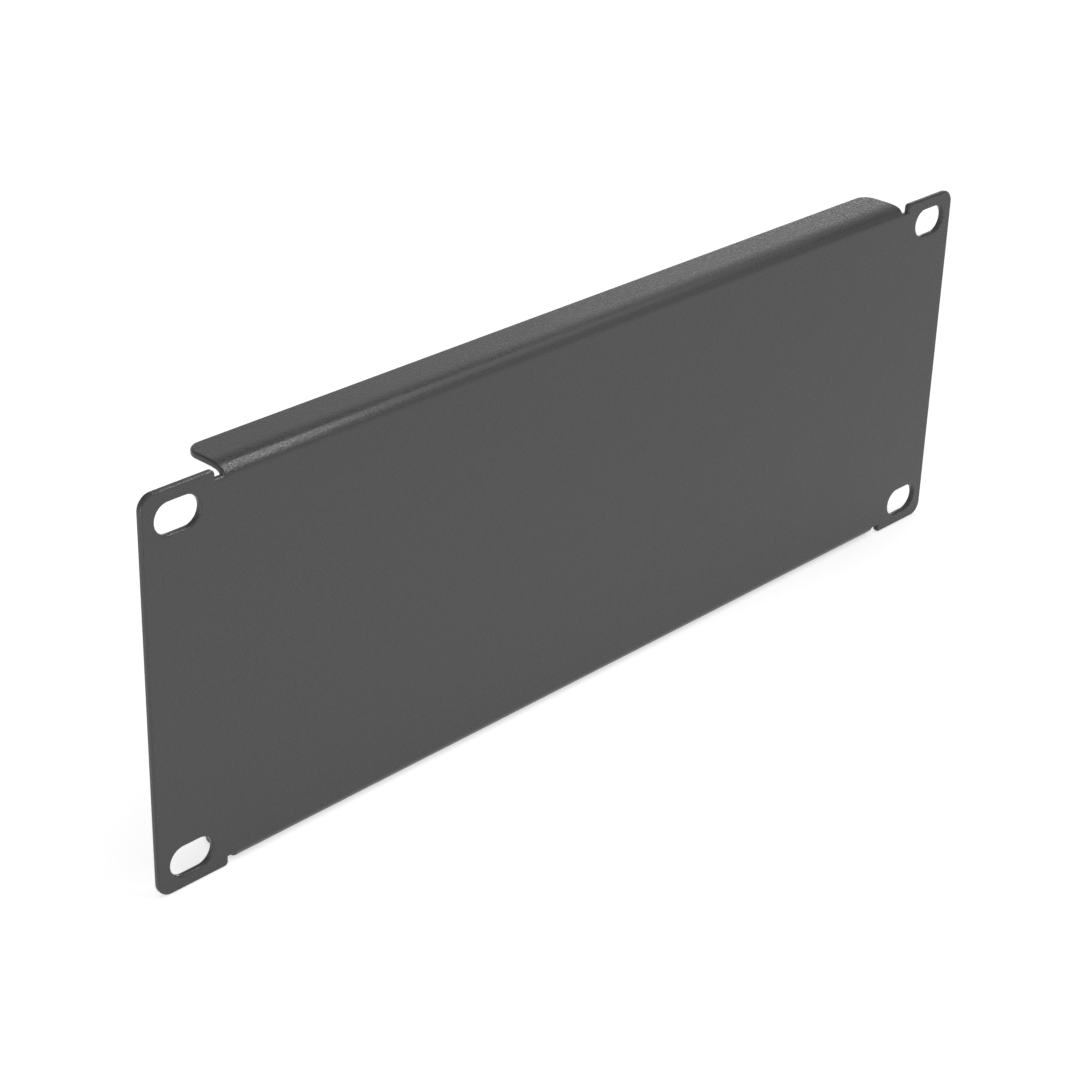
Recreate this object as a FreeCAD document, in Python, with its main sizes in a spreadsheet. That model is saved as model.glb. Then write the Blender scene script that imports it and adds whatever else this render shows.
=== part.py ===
import FreeCAD, Part
import math
import os
import Sketcher

# A two-unit blanking panel for a 10-inch equipment rack, folded from one steel sheet.
# The rear of its face lies on the rack's rails, at y = 0, and the origin is midway between its four slots.
# X runs to the right along the face, Y runs back into the rack and Z runs up.

doc = FreeCAD.newDocument("RackBlankingPanel")

# The driving sizes in millimetres: a cell's alias, its value and what it measures
SIZES = [
    ("panel_width", 254.0, "over both ears"),
    ("panel_height", 88.9, "two rack units of 44.45"),
    ("sheet_thickness", 1.5, "steel with its coat"),
    ("fold_depth", 12.2, "front of the face to the rear edge of a flange"),
    ("inner_bend_radius", 1.2, "inside of each fold"),
    ("ear_width", 20.0, "side of the panel to the end of a flange"),
    ("ear_corner_radius", 3.3, "outer corners of the ears"),
    ("flange_corner_radius", 3.7, "rear corners of the flanges"),
    ("relief_width", 2.0, "gap between an ear and the end of a flange"),
    ("relief_depth", 2.0, "edge of the ear down to the floor of that gap"),
    ("relief_corner_radius", 1.0, "corner of the ear beside that gap"),
    ("slot_length", 10.9, "end to end, along the width"),
    ("slot_width", 6.7, "for an M6 or number 12 screw"),
    ("slot_from_side", 8.7375, "side of the panel to the middle of a slot, as the rails' holes need"),
    ("slot_from_edge", 6.35, "upper or lower edge of the panel to the middle of a slot"),
    ("edge_radius", 0.25, "cut edges, softened by the coat"),
]

sheet = doc.addObject("Spreadsheet::Sheet", "Sizes")
for row, (alias, value, meaning) in enumerate(SIZES, start=1):
    sheet.set("A%d" % row, alias)
    sheet.set("B%d" % row, str(value))
    sheet.set("C%d" % row, meaning)
    sheet.setAlias("B%d" % row, alias)
doc.recompute()

panel_width = sheet.panel_width
panel_height = sheet.panel_height
sheet_thickness = sheet.sheet_thickness
fold_depth = sheet.fold_depth
inner_bend_radius = sheet.inner_bend_radius
ear_width = sheet.ear_width
ear_corner_radius = sheet.ear_corner_radius
flange_corner_radius = sheet.flange_corner_radius
relief_width = sheet.relief_width
relief_depth = sheet.relief_depth
relief_corner_radius = sheet.relief_corner_radius
slot_length = sheet.slot_length
slot_width = sheet.slot_width
slot_from_side = sheet.slot_from_side
slot_from_edge = sheet.slot_from_edge
edge_radius = sheet.edge_radius

# Places that follow from the driving sizes
side = panel_width / 2
top = panel_height / 2
rear = fold_depth - sheet_thickness
flange_end = side - ear_width
flange_underside = top - sheet_thickness
outer_bend_radius = inner_bend_radius + sheet_thickness
bend_line = top - outer_bend_radius
relief_side = flange_end + relief_width
relief_floor = top - relief_depth
# Each ear laps past the rounded end of the folds, so that no groove is left between them
lap_end = flange_end - 2 * edge_radius

# Sketcher's numbers for a point of an edge and for the two axes of a sketch
START, END, CENTRE = range(1, 4)
LEVEL_AXIS, UPRIGHT_AXIS = range(-1, -3, -1)

# Room for rounding errors where an edge is found by its place
TINY = 0.001

body = doc.addObject("PartDesign::Body", "BlankingPanel")
body.Label = "blanking_panel"


def origin_plane(role):
    return next(item for item in body.Origin.OriginFeatures if item.Role == role)


def new_sketch(name, role):
    sketch = body.newObject("Sketcher::SketchObject", name)
    sketch.AttachmentSupport = [(origin_plane(role), "")]
    sketch.MapMode = "FlatFace"
    return sketch


def level_line(sketch, height, first, last):
    ends = FreeCAD.Vector(first, height, 0), FreeCAD.Vector(last, height, 0)
    edge = sketch.addGeometry(Part.LineSegment(*ends))
    sketch.addConstraint(Sketcher.Constraint("Horizontal", edge))
    return edge, START, END


def upright_line(sketch, across, first, last):
    ends = FreeCAD.Vector(across, first, 0), FreeCAD.Vector(across, last, 0)
    edge = sketch.addGeometry(Part.LineSegment(*ends))
    sketch.addConstraint(Sketcher.Constraint("Vertical", edge))
    return edge, START, END


def arc(sketch, centre, radius, first, last):
    """An arc between two angles in degrees, followed backwards where the last angle is the smaller."""
    circle = Part.Circle(FreeCAD.Vector(*centre, 0), FreeCAD.Vector(0, 0, 1), radius)
    lesser, greater = sorted((math.radians(first), math.radians(last)))
    edge = sketch.addGeometry(Part.ArcOfCircle(circle, lesser, greater))
    return (edge, START, END) if first < last else (edge, END, START)


def join_outline(sketch, outline):
    """Close an outline: its edges meet tangent at the end of an arc, and at a corner elsewhere."""
    for (edge, _, last), (following, first, _) in zip(outline, outline[1:] + outline[:1]):
        kinds = {sketch.Geometry[edge].TypeId, sketch.Geometry[following].TypeId}
        meeting = "Tangent" if "Part::GeomArcOfCircle" in kinds else "Coincident"
        sketch.addConstraint(Sketcher.Constraint(meeting, edge, last, following, first))


def dimension(sketch, name, expression, kind, *where):
    """A named dimension that takes its value from the sheet of sizes."""
    index = sketch.addConstraint(Sketcher.Constraint(kind, *where))
    sketch.renameConstraint(index, name)
    sketch.setExpression("Constraints." + name, expression)


def round_edges(name, base, wanted, expression):
    """Round every edge of a feature that the wanted function picks."""
    names = ["Edge%d" % number for number, edge in enumerate(base.Shape.Edges, start=1) if wanted(edge)]
    fillet = body.newObject("PartDesign::Fillet", name)
    fillet.Base = (base, names)
    fillet.setExpression("Radius", expression)
    doc.recompute()
    return fillet


# Section of the face and both flanges, seen from the right and followed anticlockwise
section = new_sketch("FoldSection", "YZ_Plane")
lower_bottom = level_line(section, -top, inner_bend_radius, rear)
lower_rear = upright_line(section, rear, -top, -flange_underside)
lower_inside = level_line(section, -flange_underside, rear, inner_bend_radius)
lower_inner_bend = arc(section, (inner_bend_radius, -bend_line), inner_bend_radius, 270, 180)
face_rear = upright_line(section, 0, -bend_line, bend_line)
upper_inner_bend = arc(section, (inner_bend_radius, bend_line), inner_bend_radius, 180, 90)
upper_inside = level_line(section, flange_underside, inner_bend_radius, rear)
upper_rear = upright_line(section, rear, flange_underside, top)
upper_top = level_line(section, top, rear, inner_bend_radius)
upper_outer_bend = arc(section, (inner_bend_radius, bend_line), outer_bend_radius, 90, 180)
face_front = upright_line(section, -sheet_thickness, bend_line, -bend_line)
lower_outer_bend = arc(section, (inner_bend_radius, -bend_line), outer_bend_radius, 180, 270)
join_outline(section, [
    lower_bottom, lower_rear, lower_inside, lower_inner_bend, face_rear, upper_inner_bend,
    upper_inside, upper_rear, upper_top, upper_outer_bend, face_front, lower_outer_bend,
])
section.addConstraint([
    Sketcher.Constraint("Coincident", upper_outer_bend[0], CENTRE, upper_inner_bend[0], CENTRE),
    Sketcher.Constraint("Coincident", lower_outer_bend[0], CENTRE, lower_inner_bend[0], CENTRE),
    Sketcher.Constraint("Equal", upper_outer_bend[0], lower_outer_bend[0]),
    Sketcher.Constraint("Symmetric", lower_rear[0], START, upper_rear[0], END, LEVEL_AXIS),
    Sketcher.Constraint("PointOnObject", face_rear[0], START, UPRIGHT_AXIS),
])
dimension(section, "height", "Sizes.panel_height",
          "DistanceY", lower_rear[0], START, upper_rear[0], END, panel_height)
dimension(section, "depth", "Sizes.fold_depth",
          "DistanceX", face_front[0], START, upper_top[0], START, fold_depth)
dimension(section, "thickness", "Sizes.sheet_thickness",
          "DistanceX", face_front[0], START, face_rear[0], END, sheet_thickness)
dimension(section, "bend_radius", "Sizes.inner_bend_radius",
          "Radius", upper_inner_bend[0], inner_bend_radius)

folds = body.newObject("PartDesign::Pad", "FaceAndFlanges")
folds.Profile = section
folds.SideType = "Symmetric"
folds.setExpression("Length", "Sizes.panel_width - 2 * Sizes.ear_width")
doc.recompute()


def is_flange_corner(edge):
    middle = edge.CenterOfMass
    at_end = abs(abs(middle.x) - flange_end) < TINY
    at_rear = abs(middle.y - rear) < TINY
    return at_end and at_rear


flange_corners = round_edges("FlangeCorners", folds, is_flange_corner, "Sizes.flange_corner_radius")


def is_rim(face):
    """The ends of the folds, the rear edges of the flanges and the rounded corners between them."""
    middle = face.CenterOfMass
    return abs(middle.x) > flange_end - flange_corner_radius or abs(middle.y - rear) < TINY


def is_fold_outline(edge):
    """An edge between a rim and a broad side of the sheet."""
    beside = [is_rim(face) for face in flange_corners.Shape.ancestorsOfType(edge, Part.Face)]
    return True in beside and False in beside


soft_folds = round_edges("SoftFoldEdges", flange_corners, is_fold_outline, "Sizes.edge_radius")

# The left ear lies in the plane of the face. The gaps above and below it free the flanges to fold.
ear = new_sketch("EarOutline", "XZ_Plane")
ear_corner_x = ear_corner_radius - side
ear_corner_z = top - ear_corner_radius
tip_x = -relief_side - relief_corner_radius
tip_z = top - relief_corner_radius
lower_corner = arc(ear, (ear_corner_x, -ear_corner_z), ear_corner_radius, 180, 270)
lower_edge = level_line(ear, -top, ear_corner_x, tip_x)
lower_tip = arc(ear, (tip_x, -tip_z), relief_corner_radius, 270, 360)
lower_side = upright_line(ear, -relief_side, -tip_z, -relief_floor)
lower_floor = level_line(ear, -relief_floor, -relief_side, -lap_end)
ear_lap = upright_line(ear, -lap_end, -relief_floor, relief_floor)
upper_floor = level_line(ear, relief_floor, -lap_end, -relief_side)
upper_side = upright_line(ear, -relief_side, relief_floor, tip_z)
upper_tip = arc(ear, (tip_x, tip_z), relief_corner_radius, 0, 90)
upper_edge = level_line(ear, top, tip_x, ear_corner_x)
upper_corner = arc(ear, (ear_corner_x, ear_corner_z), ear_corner_radius, 90, 180)
ear_side = upright_line(ear, -side, ear_corner_z, -ear_corner_z)
join_outline(ear, [
    lower_corner, lower_edge, lower_tip, lower_side, lower_floor, ear_lap,
    upper_floor, upper_side, upper_tip, upper_edge, upper_corner, ear_side,
])
ear.addConstraint([
    Sketcher.Constraint("Equal", lower_corner[0], upper_corner[0]),
    Sketcher.Constraint("Equal", lower_tip[0], upper_tip[0]),
    Sketcher.Constraint("Symmetric", lower_side[0], END, upper_side[0], START, LEVEL_AXIS),
])
dimension(ear, "side", "Sizes.panel_width / 2",
          "DistanceX", ear_side[0], START, UPRIGHT_AXIS, START, side)
dimension(ear, "top", "Sizes.panel_height / 2",
          "DistanceY", LEVEL_AXIS, START, upper_edge[0], END, top)
dimension(ear, "height", "Sizes.panel_height",
          "DistanceY", lower_edge[0], START, upper_edge[0], END, panel_height)
dimension(ear, "corner_radius", "Sizes.ear_corner_radius",
          "Radius", upper_corner[0], ear_corner_radius)
dimension(ear, "tip_radius", "Sizes.relief_corner_radius",
          "Radius", upper_tip[0], relief_corner_radius)
dimension(ear, "solid_width", "Sizes.ear_width - Sizes.relief_width",
          "DistanceX", ear_side[0], START, upper_side[0], START, ear_width - relief_width)
dimension(ear, "relief_depth", "Sizes.relief_depth",
          "DistanceY", upper_side[0], START, upper_edge[0], END, relief_depth)
dimension(ear, "lapped_width", "Sizes.ear_width + 2 * Sizes.edge_radius",
          "DistanceX", ear_side[0], START, ear_lap[0], END, side - lap_end)

left_ear = body.newObject("PartDesign::Pad", "LeftEar")
left_ear.Profile = ear
left_ear.setExpression("Length", "Sizes.sheet_thickness")
doc.recompute()

# Two level slots in the left ear
slots = new_sketch("SlotOutlines", "XZ_Plane")
slot_radius = slot_width / 2
slot_run = slot_length - slot_width
left_centre = slot_from_side - side - slot_run / 2
right_centre = slot_from_side - side + slot_run / 2
slot_height = top - slot_from_edge


def slot_outline(middle):
    below = level_line(slots, middle - slot_radius, left_centre, right_centre)
    right_end = arc(slots, (right_centre, middle), slot_radius, -90, 90)
    above = level_line(slots, middle + slot_radius, right_centre, left_centre)
    left_end = arc(slots, (left_centre, middle), slot_radius, 90, 270)
    join_outline(slots, [below, right_end, above, left_end])
    return below[0], right_end[0]


lower_run, lower_end = slot_outline(-slot_height)
upper_run, upper_end = slot_outline(slot_height)
slots.addConstraint([
    Sketcher.Constraint("Equal", lower_run, upper_run),
    Sketcher.Constraint("Equal", lower_end, upper_end),
    Sketcher.Constraint("Symmetric", lower_end, CENTRE, upper_end, CENTRE, LEVEL_AXIS),
])
dimension(slots, "radius", "Sizes.slot_width / 2",
          "Radius", upper_end, slot_radius)
dimension(slots, "run", "Sizes.slot_length - Sizes.slot_width",
          "DistanceX", upper_run, START, upper_run, END, slot_run)
dimension(slots, "pitch_up", "Sizes.panel_height - 2 * Sizes.slot_from_edge",
          "DistanceY", lower_end, CENTRE, upper_end, CENTRE, 2 * slot_height)
dimension(slots, "right_centre",
          "Sizes.panel_width / 2 - Sizes.slot_from_side - (Sizes.slot_length - Sizes.slot_width) / 2",
          "DistanceX", upper_end, CENTRE, UPRIGHT_AXIS, START, -right_centre)

left_slots = body.newObject("PartDesign::Pocket", "LeftSlots")
left_slots.Profile = slots
left_slots.Type = "ThroughAll"
left_slots.SideType = "Symmetric"
doc.recompute()

# The right ear and its slots mirror the left ones
both_ears = body.newObject("PartDesign::Mirrored", "BothEars")
both_ears.Originals = [left_ear, left_slots]
both_ears.MirrorPlane = (origin_plane("YZ_Plane"), [""])
body.Tip = both_ears
doc.recompute()


def is_ear_outline(edge):
    """The outline of an ear or the rim of a slot, on the front or the rear of the face."""
    middle = edge.CenterOfMass
    at_ear = abs(middle.x) > relief_side - TINY
    at_front = abs(middle.y + sheet_thickness) < TINY
    at_back = abs(middle.y) < TINY
    return at_ear and (at_front or at_back)


soft_ears = round_edges("SoftEarEdges", both_ears, is_ear_outline, "Sizes.edge_radius")
body.Tip = soft_ears
doc.recompute()

for item in doc.Objects:
    if "Invalid" in item.State or "Error" in item.State:
        raise RuntimeError("%s failed: %s" % (item.Label, item.getStatusString()))
if body.Shape.isNull() or not body.Shape.isValid() or len(body.Shape.Solids) != 1:
    raise RuntimeError("%s isn't one valid solid" % body.Label)
if left_slots.Shape.Volume >= left_ear.Shape.Volume:
    raise RuntimeError("the slots cut nothing")
print("%s: %.1f mm3, %d faces" % (body.Label, body.Shape.Volume, len(body.Shape.Faces)))

os.makedirs("parts", exist_ok=True)
body.Shape.exportStep("parts/%s.step" % body.Label)
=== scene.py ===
import math
import bmesh
import bpy
from mathutils import Matrix, Quaternion, Vector


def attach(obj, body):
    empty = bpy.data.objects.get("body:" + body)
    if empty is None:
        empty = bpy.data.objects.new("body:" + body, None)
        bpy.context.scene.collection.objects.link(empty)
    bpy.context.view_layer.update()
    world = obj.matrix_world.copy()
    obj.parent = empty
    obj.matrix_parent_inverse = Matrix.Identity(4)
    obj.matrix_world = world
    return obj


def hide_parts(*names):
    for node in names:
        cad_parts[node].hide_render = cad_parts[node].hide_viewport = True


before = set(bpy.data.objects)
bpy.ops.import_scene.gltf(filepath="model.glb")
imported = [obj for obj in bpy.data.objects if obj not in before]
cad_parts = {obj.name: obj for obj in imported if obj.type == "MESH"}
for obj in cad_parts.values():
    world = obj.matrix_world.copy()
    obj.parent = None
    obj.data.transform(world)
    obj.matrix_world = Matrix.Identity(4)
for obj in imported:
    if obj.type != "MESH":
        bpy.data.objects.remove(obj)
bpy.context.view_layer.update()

# A folded and powder-coated rack panel, seen from its upper left.
# Values are in millimetres, and become metres where they reach a mesh.
mm = 0.001

# The camera comes from the photograph's own lines
cameraValues = {
    "place": (-385.517, -340.449, 252.295),
    "pointOnAxis": (-16.883, 0.0, -12.153),
    "roll": 1.8,              # degrees
    "lens": 85.555,
    "sensor": 36.0,
    "shift": (-0.000463, 0.03375),
    "clipStart": 10.0,
}


def addCamera():
    data = bpy.data.cameras.new("camera")
    data.lens = cameraValues["lens"]
    data.sensor_fit = "HORIZONTAL"
    data.sensor_width = cameraValues["sensor"]
    data.shift_x, data.shift_y = cameraValues["shift"]
    data.clip_start = cameraValues["clipStart"] * mm
    camera = bpy.data.objects.new("camera", data)
    place = Vector(cameraValues["place"]) * mm
    axis = Vector(cameraValues["pointOnAxis"]) * mm - place
    turn = axis.to_track_quat("-Z", "Y").to_matrix().to_4x4()
    roll = Matrix.Rotation(math.radians(cameraValues["roll"]), 4, "Z")
    camera.matrix_world = Matrix.Translation(place) @ turn @ roll
    bpy.context.scene.collection.objects.link(camera)
    bpy.context.scene.camera = camera


# The sheet, cut flat and then folded
sheetValues = {
    "width": 254.0,
    "height": 88.9,
    "thickness": 1.5,
    "foldDepth": 12.2,
    "outerBend": 2.5,
    "easeLength": 3.5,        # the flange starts to turn this far before its tight bend
    "easeTurn": 15.0,         # degrees
    "earWidth": 20.0,
    "earCorner": 3.3,
    "flangeCorner": 3.7,
    "reliefWidth": 2.0,
    "reliefDepth": 2.0,
    "reliefCorner": 1.0,
    "slotLength": 10.9,
    "slotWidth": 6.7,
    "slotFromSide": 8.7375,
    "slotFromEdge": 6.35,
    "softEdge": 0.5,          # radius of the cut edges under the coat
    "step": 6.0,              # longest face along a straight edge
    "arcStep": 9.0,           # degrees
    "bendStep": 0.3,
    "bendSubsteps": 20,       # steps of the bend's section in one face
    "softSteps": 5,
}

samePlace = 1e-6              # points nearer than this are one


# The bend in the sheet's middle layer, from its start on the face to its end on the flange:
# for each step the distance along the sheet, the way back and up so far, and the turn
def bendSection(v):
    radius = v["outerBend"] - v["thickness"] / 2
    easeTurn = math.radians(v["easeTurn"])
    tightTurn = math.pi / 2 - easeTurn
    total = radius * tightTurn + v["easeLength"]
    count = math.ceil(total / v["bendStep"]) * v["bendSubsteps"]
    along = total / count
    section = [(0.0, 0.0, 0.0, 0.0)]
    for i in range(1, count + 1):
        _, back, up, turn = section[-1]
        past = i / count * total - radius * tightTurn
        if past < 0:
            nextTurn = tightTurn + past / radius
        else:
            nextTurn = math.pi / 2 - easeTurn * (1 - past / v["easeLength"]) ** 2
        middle = (turn + nextTurn) / 2
        back += along * math.sin(middle)
        up += along * math.cos(middle)
        section.append((i * along, back, up, nextTurn))
    return section


# The blank's main lines from the panel's middle. Heights are along the developed sheet.
def blankLines(section, v):
    length, back, up, _ = section[-1]
    bendStart = v["height"] / 2 - v["thickness"] / 2 - up
    bendEnd = bendStart + length
    reliefFloor = v["height"] / 2 - v["reliefDepth"] - v["softEdge"]
    return {
        "flangeEnd": v["width"] / 2 - v["earWidth"],
        "bendStart": bendStart,
        "bendEnd": bendEnd,
        "rear": bendEnd + v["foldDepth"] - v["thickness"] / 2 - back,
        "reliefFloor": reliefFloor,
        "loop": reliefFloor - bendStart,  # width of the loop of faces along a cut edge
    }


def straight(first, last, step):
    first, last = Vector(first), Vector(last)
    count = max(1, math.ceil((last - first).length / step))
    return [first.lerp(last, i / count) for i in range(count + 1)]


# Numbers from first to last, in even steps no longer than step
def spread(first, last, step):
    return [p.x for p in straight((first, 0), (last, 0), step)]


def arc(centre, radius, first, last, step):
    count = max(2, math.ceil(abs(last - first) / step))
    points = []
    for i in range(count + 1):
        angle = math.radians(first + (last - first) * i / count)
        x, y = radius * math.cos(angle), radius * math.sin(angle)
        points.append(Vector((centre[0] + x, centre[1] + y)))
    return points


def joined(*runs):
    points = []
    for point in (p for run in runs for p in run):
        if not points or (point - points[-1]).length > samePlace:
            points.append(point)
    return points


def mirrored(points, sx, sy):
    return [Vector((sx * p[0], sy * p[1])) for p in points]


# Each point moved to the left of its line by a distance, with mitred corners
def offsetLine(points, distance, closed=False):
    moved = []
    for i, point in enumerate(points):
        before = points[i - 1] if closed or i else None
        after = points[(i + 1) % len(points)] if closed or i + 1 < len(points) else None
        sides = []
        for a, b in ((before, point), (point, after)):
            if a is not None and b is not None:
                along = (b - a).normalized()
                sides.append(Vector((-along.y, along.x)))
        middle = sum(sides, Vector((0, 0))).normalized()
        moved.append(point + middle * distance / middle.dot(sides[0]))
    return moved


# The blank has one vertex at a place, and known finds it again
def addVert(blank, known, point):
    key = round(point[0], 3), round(point[1], 3)
    if key not in known:
        known[key] = blank.verts.new((point[0], point[1], 0))
    return known[key]


def addGrid(blank, known, lines):
    for low, high in zip(lines, lines[1:]):
        for corners in zip(low, low[1:], high[1:], high):
            blank.faces.new([addVert(blank, known, p) for p in corners])


def faceRows(lines, v):
    return spread(0, lines["bendStart"], v["step"])


# A quarter of the panel between its ears, from the middle of the face to the flange's rear edge
def addQuarter(blank, known, sx, sy, lines, v):
    soft, step, loop = v["softEdge"], v["step"], lines["loop"]
    side, rear = lines["flangeEnd"] - soft, lines["rear"] - soft
    corner = lines["flangeEnd"] - v["flangeCorner"], lines["rear"] - v["flangeCorner"]
    columns = spread(0, corner[0], step)
    bendRows = spread(lines["reliefFloor"], lines["bendEnd"], v["bendStep"])
    flangeRows = spread(lines["bendEnd"], corner[1], step / 3)
    rows = faceRows(lines, v) + bendRows + flangeRows[1:]
    main = columns + [side - loop, side], rows
    rearLoop = columns, [corner[1], rear - loop, rear]
    for xs, ys in (main, rearLoop):
        addGrid(blank, known, [mirrored([(x, y) for x in xs], sx, sy) for y in ys])
    # The flange's rounded corner is a loop of faces round a fan of triangles
    radius = v["flangeCorner"] - soft
    inner, outer = [arc(corner, radius - w, 0, 90, v["arcStep"]) for w in (loop, 0)]
    addGrid(blank, known, [mirrored(line, sx, sy) for line in (inner, outer)])
    for a, b in zip(inner, inner[1:]):
        blank.faces.new([addVert(blank, known, p) for p in mirrored((corner, a, b), sx, sy)])


# An ear's outline from its lower relief to its upper one, with the sheet to the left of the line
def earOutline(lines, v):
    soft, arcStep, loop = v["softEdge"], v["arcStep"], lines["loop"]
    side, top, floor = v["width"] / 2, v["height"] / 2, lines["reliefFloor"]
    reliefSide = lines["flangeEnd"] + v["reliefWidth"]
    tip = reliefSide + v["reliefCorner"], top - v["reliefCorner"]
    corner = side - v["earCorner"], top - v["earCorner"]
    upper = joined(
        straight((lines["flangeEnd"] - soft, floor), (reliefSide + soft, floor), loop),
        straight((reliefSide + soft, floor), (reliefSide + soft, tip[1]), loop),
        arc(tip, v["reliefCorner"] - soft, 180, 90, arcStep),
        straight((tip[0], top - soft), (corner[0], top - soft), v["step"] / 2),
        arc(corner, v["earCorner"] - soft, 90, 0, arcStep),
        straight((side - soft, corner[1]), (side - soft, 0), v["step"]),
    )
    return mirrored(upper, 1, -1) + upper[-2::-1]


def slotOutline(sy, v):
    radius = v["slotWidth"] / 2 + v["softEdge"]
    run = (v["slotLength"] - v["slotWidth"]) / 2
    x, y = v["width"] / 2 - v["slotFromSide"], sy * (v["height"] / 2 - v["slotFromEdge"])
    return joined(
        arc((x - run, y), radius, 270, 90, v["arcStep"]),
        arc((x + run, y), radius, 90, -90, v["arcStep"]),
    )


# An ear is a loop of faces along each cut edge, and triangles between the loops
def addEar(blank, known, sx, lines, v):
    loop = lines["loop"]
    edge = [offsetLine(earOutline(lines, v), w) for w in (0, loop)]
    addGrid(blank, known, [mirrored(line, sx, 1) for line in edge])
    rows = faceRows(lines, v)
    heights = rows[:0:-1] + [-y for y in rows]
    seam = [Vector((lines["flangeEnd"] - v["softEdge"], y)) for y in heights]
    webLoops = [edge[-1] + seam[1:-1]]
    for sy in (1, -1):
        rings = [offsetLine(slotOutline(sy, v), w, closed=True) for w in (0, loop)]
        addGrid(blank, known, [mirrored(ring + ring[:1], sx, 1) for ring in rings])
        webLoops.append(rings[-1])
    webEdges = []
    for line in webLoops:
        verts = [addVert(blank, known, p) for p in mirrored(line, sx, 1)]
        for a, b in zip(verts, verts[1:] + verts[:1]):
            webEdges.append(blank.edges.get((a, b)) or blank.edges.new((a, b)))
    bmesh.ops.triangle_fill(blank, use_beauty=True, use_dissolve=False, edges=webEdges)


# The flat blank, which ends where its soft edges begin
def cutBlank(lines, v):
    blank = bmesh.new()
    known = {}
    for sx in (1, -1):
        for sy in (1, -1):
            addQuarter(blank, known, sx, sy, lines, v)
    for sx in (1, -1):
        addEar(blank, known, sx, lines, v)
    for face in blank.faces:
        face.normal_update()
        if face.normal.z < 0:
            face.normal_flip()
    blank.verts.index_update()
    blank.verts.ensure_lookup_table()
    return blank


# Where a point of the blank's middle layer goes: its place, the sheet's outward normal
# and the way up the sheet
def foldPlace(point, section, lines, v):
    bendStart, bendEnd = lines["bendStart"], lines["bendEnd"]
    sign = 1 if point.y > 0 else -1
    height = abs(point.y)
    back, up, turn = 0.0, min(height, bendStart), 0.0
    if height > bendStart:
        index = min((height - bendStart) / (bendEnd - bendStart), 1) * (len(section) - 1)
        low, high = section[math.floor(index)], section[math.ceil(index)]
        _, back, gained, turn = (a + (b - a) * (index % 1) for a, b in zip(low, high))
        back += max(height - bendEnd, 0)
        up += gained
    folded = Vector((point.x, back - v["thickness"] / 2, sign * up))
    flat = Vector((point.x, -v["thickness"] / 2, point.y))
    # The bend fades out over the width of a relief
    fade = min(max((abs(point.x) - lines["flangeEnd"]) / v["reliefWidth"], 0), 1)
    fade = fade * fade * (3 - 2 * fade)
    bent = Vector((0, -math.cos(turn), sign * math.sin(turn)))
    normal = bent.lerp(Vector((0, -1, 0)), fade).normalized()
    return folded.lerp(flat, fade), normal, Vector((0, normal.z, -normal.y))


# The vertices of the cut edges: the next one along the edge, and the way out of the sheet
# with the mitre there
def cutEdges(blank, places):
    nextOf = {}
    for edge in blank.edges:
        if edge.is_boundary:
            loop = edge.link_loops[0]
            nextOf[loop.vert.index] = loop.link_loop_next.vert.index
    previousOf = {after: index for index, after in nextOf.items()}
    outward = {}
    for index, after in nextOf.items():
        before, here, there = (blank.verts[i].co for i in (previousOf[index], index, after))
        sides = []
        for a, b in ((before, here), (here, there)):
            along = (b - a).normalized()
            sides.append(Vector((along.y, -along.x, 0)))
        middle = (sides[0] + sides[1]).normalized()
        _, _, upward = places[index]
        way = Vector((1, 0, 0)) * middle.x + upward * middle.y
        outward[index] = way, 1 / middle.dot(sides[0])
    return nextOf, outward


# The soft edge at one vertex, from the front over the rim to the back, as places and normals
def rimPoints(place, normal, way, mitre, v):
    half, soft = v["thickness"] / 2, v["softEdge"]
    turns = [math.pi / 2 * i / v["softSteps"] for i in range(1, v["softSteps"] + 1)]
    points = []
    for face, run in ((1, turns), (-1, turns[::-1])):
        for a in run:
            out = way * (soft * mitre * math.sin(a))
            up = normal * face * (half - soft + soft * math.cos(a))
            points.append((place + out + up, way * math.sin(a) + normal * face * math.cos(a)))
    return points


def makePiece(name, verts, normals, faces):
    mesh = bpy.data.meshes.new(name)
    mesh.from_pydata([place * mm for place in verts], [], faces)
    mesh.validate()
    mesh.shade_smooth()
    mesh.normals_split_custom_set_from_vertices(normals)
    mesh.update()
    piece = bpy.data.objects.new(name, mesh)
    bpy.context.scene.collection.objects.link(piece)
    return piece


# The blank folded, and given its thickness and its soft edges
def foldSheet(name, v):
    section = bendSection(v)
    lines = blankLines(section, v)
    blank = cutBlank(lines, v)
    places = [foldPlace(vert.co, section, lines, v) for vert in blank.verts]
    nextOf, outward = cutEdges(blank, places)
    verts, normals = [], []

    def add(place, normal):
        verts.append(place)
        normals.append(normal.normalized())
        return len(verts) - 1

    half = v["thickness"] / 2
    front = [add(place + normal * half, normal) for place, normal, _ in places]
    back = [add(place - normal * half, -normal) for place, normal, _ in places]
    rims = {}
    for index, (way, mitre) in outward.items():
        place, normal, _ = places[index]
        rim = [add(*point) for point in rimPoints(place, normal, way, mitre, v)]
        rims[index] = [front[index]] + rim + [back[index]]

    faces = []
    for face in blank.faces:
        indices = [vert.index for vert in face.verts]
        faces.append([front[i] for i in indices])
        faces.append([back[i] for i in reversed(indices)])
    for index, after in nextOf.items():
        here, there = rims[index], rims[after]
        for a, b, c, d in zip(here, there, there[1:], here[1:]):
            faces.append([b, a, d, c])
    blank.free()
    return makePiece(name, verts, normals, faces)


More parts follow.
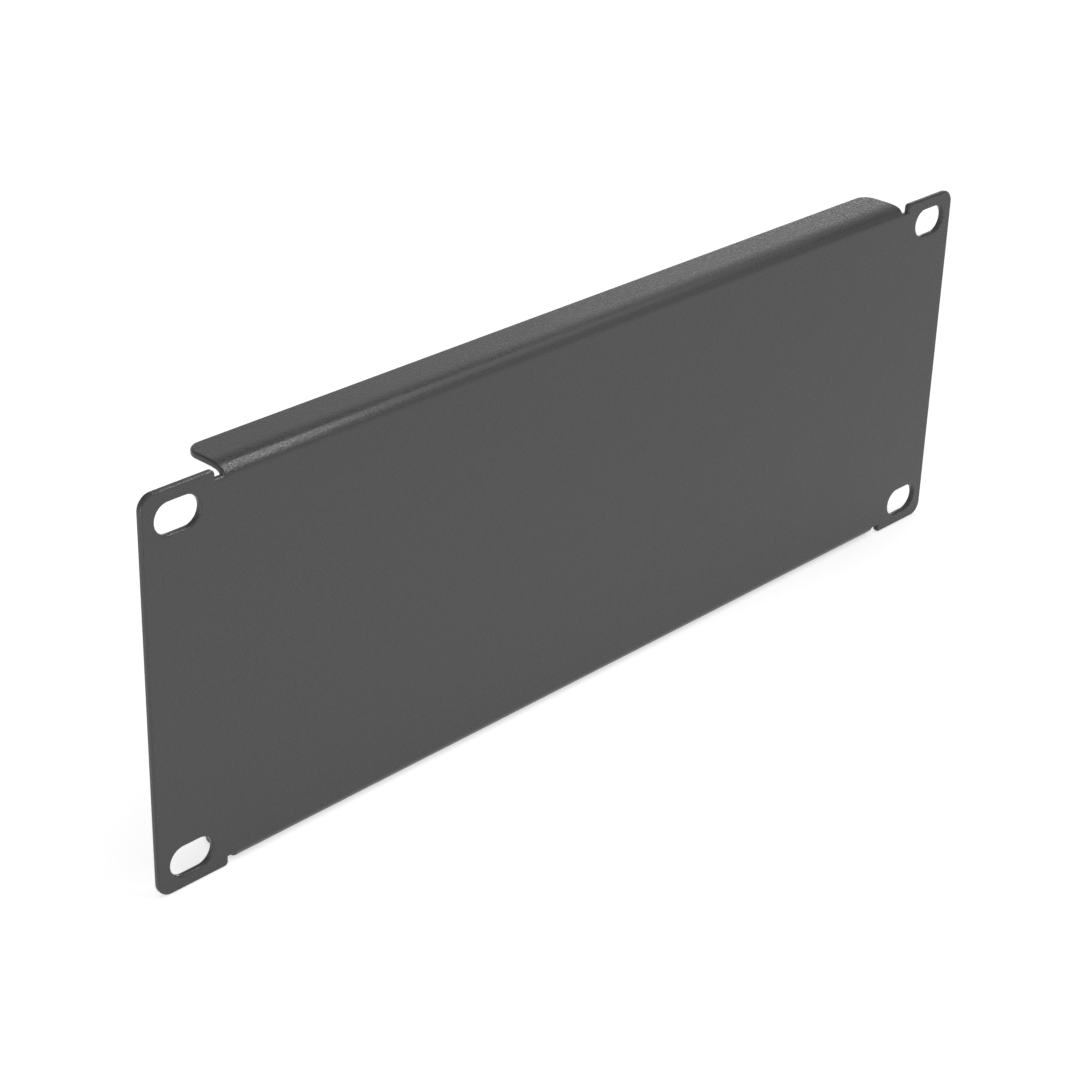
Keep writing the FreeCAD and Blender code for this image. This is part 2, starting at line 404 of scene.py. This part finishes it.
# Dark grey powder coat: fine grain over a slow orange-peel wave, with smoother and duller specks
coatValues = {
    "colour": (0.052, 0.052, 0.052, 1.0),
    "specular": 0.38,
    "roughness": (0.13, 0.37),  # of the smoothest and the dullest specks
    "speckNoise": (0.35, 0.65),  # noise at which they are reached
    "speckSize": 0.4,         # sizes and heights in millimetres
    "speckDetail": 1.0,
    "peelSize": 1.9,
    "peelDetail": 1.0,
    "peelHeight": 0.012,
    "grainSize": 0.5,
    "grainDetail": 3.0,
    "grainHeight": 0.055,
}


def addNode(tree, kind, **settings):
    node = tree.nodes.new(kind)
    for key, value in settings.items():
        setattr(node, key, value)
    return node


def addNoise(tree, place, label, v, location):
    noise = addNode(tree, "ShaderNodeTexNoise", label=label, location=location)
    noise.inputs["Scale"].default_value = 1 / (v[label + "Size"] * mm)
    noise.inputs["Detail"].default_value = v[label + "Detail"]
    tree.links.new(place.outputs["Object"], noise.inputs["Vector"])
    return noise.outputs["Fac"]


def makePowderCoat(name, v):
    material = bpy.data.materials.new(name)
    material.use_nodes = True
    tree = material.node_tree
    tree.nodes.clear()
    output = addNode(tree, "ShaderNodeOutputMaterial", location=(900, 0))
    shader = addNode(tree, "ShaderNodeBsdfPrincipled", location=(600, 0))
    shader.inputs["Base Color"].default_value = v["colour"]
    shader.inputs["Specular IOR Level"].default_value = v["specular"]
    tree.links.new(shader.outputs["BSDF"], output.inputs["Surface"])

    place = addNode(tree, "ShaderNodeTexCoord", location=(-800, 0))
    specks = addNoise(tree, place, "speck", v, (-500, 300))
    dullness = addNode(tree, "ShaderNodeMapRange", label="dullness", location=(-200, 300))
    for side, (low, high) in (("From", v["speckNoise"]), ("To", v["roughness"])):
        dullness.inputs[side + " Min"].default_value = low
        dullness.inputs[side + " Max"].default_value = high
    tree.links.new(specks, dullness.inputs["Value"])
    tree.links.new(dullness.outputs["Result"], shader.inputs["Roughness"])

    normal = None
    for row, label in enumerate(("peel", "grain")):
        height = addNoise(tree, place, label, v, (-500, -300 * row))
        location = -200 + 300 * row, -300 * row
        bump = addNode(tree, "ShaderNodeBump", label=label, location=location)
        bump.inputs["Strength"].default_value = 1.0
        bump.inputs["Distance"].default_value = v[label + "Height"] * mm
        tree.links.new(height, bump.inputs["Height"])
        if normal:
            tree.links.new(normal.outputs["Normal"], bump.inputs["Normal"])
        normal = bump
    tree.links.new(normal.outputs["Normal"], shader.inputs["Normal"])
    return material


stageValues = {
    "floorSize": 12000.0,
    "floorGap": 0.05,         # keeps the floor off the lower flange
    "floorColour": (0.80, 0.80, 0.80, 1.0),
    "floorGlow": 0.58,
    # Brightness of the sky by degrees above the horizon
    "sky": ((0, 0.80), (12, 0.49), (24, 0.90), (36, 0.15), (50, 0.15), (90, 1.20)),
}

# Powers in watts. The strip makes the streak on the left of the fold.
lampValues = {
    "overhead": {
        "place": (901, -156, 1127), "aim": (901, -156, 0), "roll": 0,
        "size": (636, 1429), "power": 3.28,
    },
    "left": {
        "place": (-340, -160, 20), "aim": (0, 0, 0), "roll": 0,
        "size": (150, 150), "power": 0.28,
    },
    "rearRight": {
        "place": (2150, 1550, 120), "aim": (0, 0, 0), "roll": 0,
        "size": (680, 680), "power": 5.3,
    },
    "strip": {
        "place": (20, -79, 191), "aim": (-100, 0, 44), "roll": -54,
        "size": (30, 300), "power": 0.21,
    },
}


# 1 for rays that see the background directly, in a mirror or through glass, and 0 for the rest
def addSeenBackground(tree):
    path = addNode(tree, "ShaderNodeLightPath", location=(-800, 300))
    seen = path.outputs["Is Camera Ray"]
    for column, name in enumerate(("Is Glossy Ray", "Is Transmission Ray")):
        location = -600 + 200 * column, 300
        either = addNode(tree, "ShaderNodeMath", operation="MAXIMUM", location=location)
        tree.links.new(seen, either.inputs[0])
        tree.links.new(path.outputs[name], either.inputs[1])
        seen = either.outputs[0]
    return seen


def addFloor(v):
    mesh = bpy.data.meshes.new("floor")
    half = v["floorSize"] / 2
    level = -sheetValues["height"] / 2 - v["floorGap"]
    corners = [(-half, -half), (half, -half), (half, half), (-half, half)]
    mesh.from_pydata([Vector((x, y, level)) * mm for x, y in corners], [], [(0, 1, 2, 3)])
    floor = bpy.data.objects.new("floor", mesh)
    bpy.context.scene.collection.objects.link(floor)
    material = bpy.data.materials.new("palePaper")
    material.use_nodes = True
    tree = material.node_tree
    tree.nodes.clear()
    output = addNode(tree, "ShaderNodeOutputMaterial", location=(600, 0))
    both = addNode(tree, "ShaderNodeAddShader", location=(400, 0))
    paper = addNode(tree, "ShaderNodeBsdfDiffuse", location=(100, 100))
    paper.inputs["Color"].default_value = v["floorColour"]
    glow = addNode(tree, "ShaderNodeEmission", location=(100, -100))
    seen = addSeenBackground(tree)
    strength = addNode(tree, "ShaderNodeMath", operation="MULTIPLY", location=(-100, -100))
    strength.inputs[1].default_value = v["floorGlow"]
    tree.links.new(seen, strength.inputs[0])
    tree.links.new(strength.outputs[0], glow.inputs["Strength"])
    tree.links.new(paper.outputs[0], both.inputs[0])
    tree.links.new(glow.outputs[0], both.inputs[1])
    tree.links.new(both.outputs[0], output.inputs["Surface"])
    mesh.materials.append(material)


def addSky(v):
    world = bpy.data.worlds.new("studio")
    bpy.context.scene.world = world
    world.use_nodes = True
    tree = world.node_tree
    tree.nodes.clear()
    output = addNode(tree, "ShaderNodeOutputWorld", location=(600, 0))
    background = addNode(tree, "ShaderNodeBackground", location=(400, 0))
    direction = addNode(tree, "ShaderNodeTexCoord", location=(-800, 0))
    split = addNode(tree, "ShaderNodeSeparateXYZ", location=(-600, 0))
    elevation = addNode(tree, "ShaderNodeMath", operation="ARCSINE", location=(-400, 0))
    share = addNode(tree, "ShaderNodeMath", operation="DIVIDE", location=(-200, 0))
    share.inputs[1].default_value = math.pi / 2
    ramp = addNode(tree, "ShaderNodeValToRGB", location=(0, 0))
    stops = ramp.color_ramp.elements
    while len(stops) < len(v["sky"]):
        stops.new(1.0)
    for stop, (degrees, level) in zip(stops, v["sky"]):
        stop.position = degrees / 90
        stop.color = (level, level, level, 1.0)
    tree.links.new(direction.outputs["Generated"], split.inputs[0])
    tree.links.new(split.outputs["Z"], elevation.inputs[0])
    tree.links.new(elevation.outputs[0], share.inputs[0])
    tree.links.new(share.outputs[0], ramp.inputs["Fac"])
    tree.links.new(ramp.outputs["Color"], background.inputs["Color"])
    tree.links.new(background.outputs[0], output.inputs["Surface"])


def addLamps(lamps):
    for name, v in lamps.items():
        data = bpy.data.lights.new(name, "AREA")
        data.shape = "RECTANGLE"
        data.size, data.size_y = (side * mm for side in v["size"])
        data.energy = v["power"]
        lamp = bpy.data.objects.new(name, data)
        place, aim = Vector(v["place"]), Vector(v["aim"])
        lamp.location = place * mm
        roll = Quaternion((0, 0, 1), math.radians(v["roll"]))
        lamp.rotation_euler = ((aim - place).to_track_quat("-Z", "Y") @ roll).to_euler()
        bpy.context.scene.collection.objects.link(lamp)


addCamera()
print("camera placed")

panel = foldSheet("foldedPanel", sheetValues)
panel.data.materials.append(makePowderCoat("powderCoat", coatValues))
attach(panel, "root")
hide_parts("blanking_panel")
print("panel folded:", len(panel.data.polygons), "faces")

addFloor(stageValues)
addSky(stageValues)
addLamps(lampValues)
bpy.context.scene.view_settings.view_transform = "Standard"
print("stage lit")
